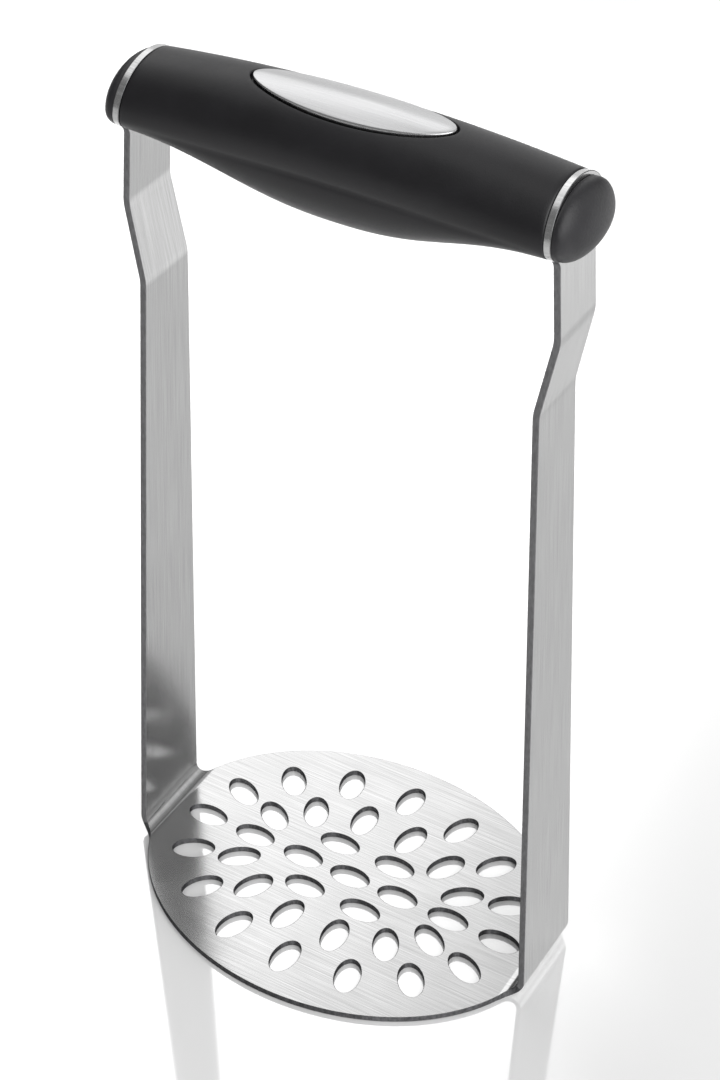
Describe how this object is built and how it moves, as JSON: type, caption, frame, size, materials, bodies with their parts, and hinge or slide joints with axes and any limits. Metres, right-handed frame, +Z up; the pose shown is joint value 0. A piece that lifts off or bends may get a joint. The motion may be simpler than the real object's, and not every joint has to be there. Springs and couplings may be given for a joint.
{
  "type": "potato masher",
  "caption": "Upright potato masher: oval perforated steel plate bent up into two straps that carry a crosswise soft-touch grip with domed ends.",
  "frame": {"origin": "middle of the underside of the plate, which is the lowest face", "axes": "+X along the handle to the right, +Y to the back, +Z up"},
  "size_m": [0.1288, 0.0986, 0.2576],
  "materials": {
    "brushed_stainless": "brushed along the straps and along the plate, satin on the discs",
    "soft_grip": "fine matte soft-touch",
    "core_plastic": "plain moulded",
    "badge_metal": "brushed along its length, plain, without lettering",
    "adhesive_foam": "foam tape",
    "cap_plastic": "fine matte moulded",
    "fastener_steel": "plain stainless",
    "insert_brass": "turned"
  },
  "bodies": {
    "root": {"masher_frame": "brushed_stainless", "grip_sleeve": "soft_grip", "grip_core": "core_plastic", "badge_plate": "badge_metal", "badge_pad": "adhesive_foam", "left_end_cap": "cap_plastic", "right_end_cap": "cap_plastic", "end_screws": "fastener_steel", "end_washers": "fastener_steel", "end_inserts": "insert_brass"}
  },
  "joints": []
}
